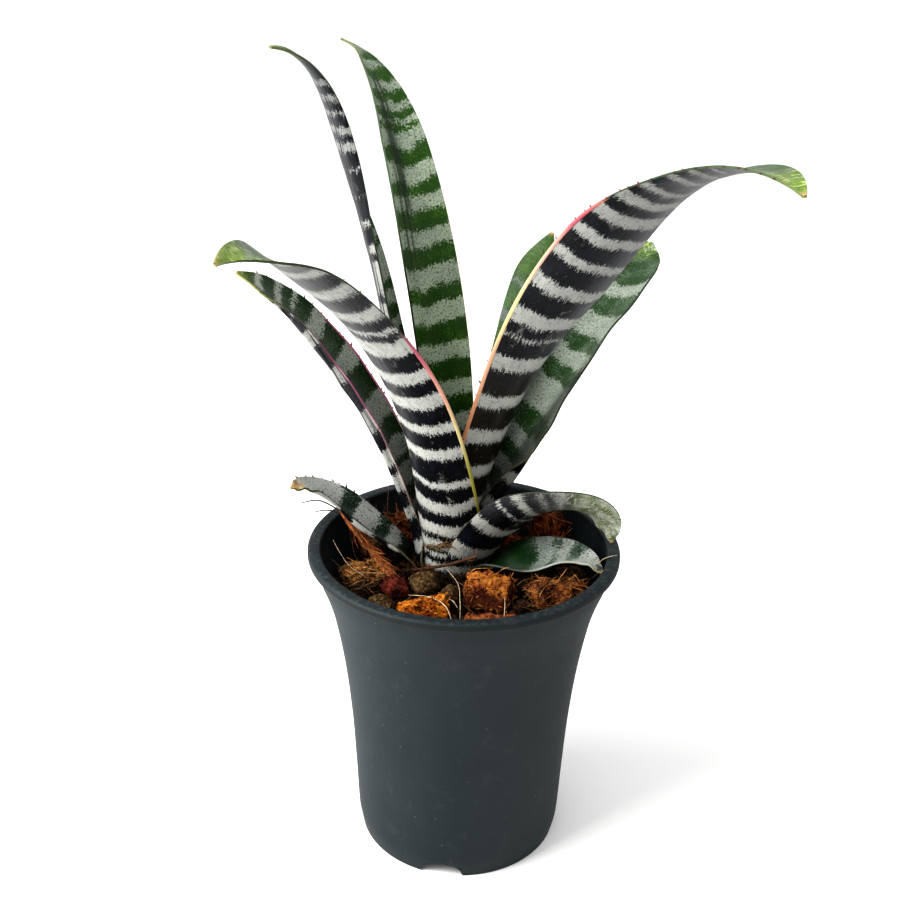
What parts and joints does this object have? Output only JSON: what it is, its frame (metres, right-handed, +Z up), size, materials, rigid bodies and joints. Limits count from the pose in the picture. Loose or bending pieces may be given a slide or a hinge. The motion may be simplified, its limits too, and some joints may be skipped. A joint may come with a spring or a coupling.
{
  "type": "potted aechmea",
  "caption": "Young banded aechmea: arching silver-banded leaves with spined pink margins in a funnel rosette, in a flared black nursery pot of husk chips and clay pellets.",
  "frame": {"origin": "on the surface that the pot stands on, under the middle of the plant's whole width and depth; the pot's own axis stands 4.6 mm to -X and 6.2 mm to +Y of it", "axes": "+Z up along the pot's axis; the front, from where the picture looks, faces -Y; +X is to the right of the picture"},
  "size_m": [0.1803, 0.1735, 0.3128],
  "materials": {
    "pot_plastic": "matte",
    "potting_mix": "matte",
    "stem": "satin",
    "leaf": "satin",
    "husk_orange": "matte",
    "husk_brown": "matte",
    "fired_clay": "matte",
    "dry_root": "matte"
  },
  "bodies": {
    "root": {"pot": "pot_plastic", "potting_mix": "potting_mix", "stem": "stem", "leaf_tall_back": "leaf", "leaf_tall_folded": "leaf", "leaf_back_right": "leaf", "leaf_right_wide": "leaf", "leaf_right_curled": "leaf", "leaf_left_wide": "leaf", "leaf_left_upper": "leaf", "leaf_small_arching": "leaf", "leaf_small_right": "leaf", "leaf_small_left": "leaf", "chip_orange_square": "husk_orange", "chip_orange_bitten": "husk_orange", "chip_flat_front": "husk_orange", "chip_fibrous_right": "husk_brown", "chip_red_back": "husk_brown", "chip_red_inner": "husk_brown", "husk_lump_left": "husk_brown", "chip_dark_red": "husk_brown", "chip_dark_small": "husk_brown", "husk_tuft_back_left": "husk_brown", "chip_back_middle": "husk_brown", "chip_back_right": "husk_brown", "chip_left_front": "husk_brown", "clay_pellet_1": "fired_clay", "clay_pellet_2": "fired_clay", "clay_pellet_3": "fired_clay", "clay_pellet_4": "fired_clay", "clay_pellet_5": "fired_clay", "clay_pellet_6": "fired_clay", "clay_pellet_7": "fired_clay", "clay_pellet_8": "fired_clay", "husk_strip": "husk_brown", "dry_root": "dry_root"}
  },
  "joints": []
}
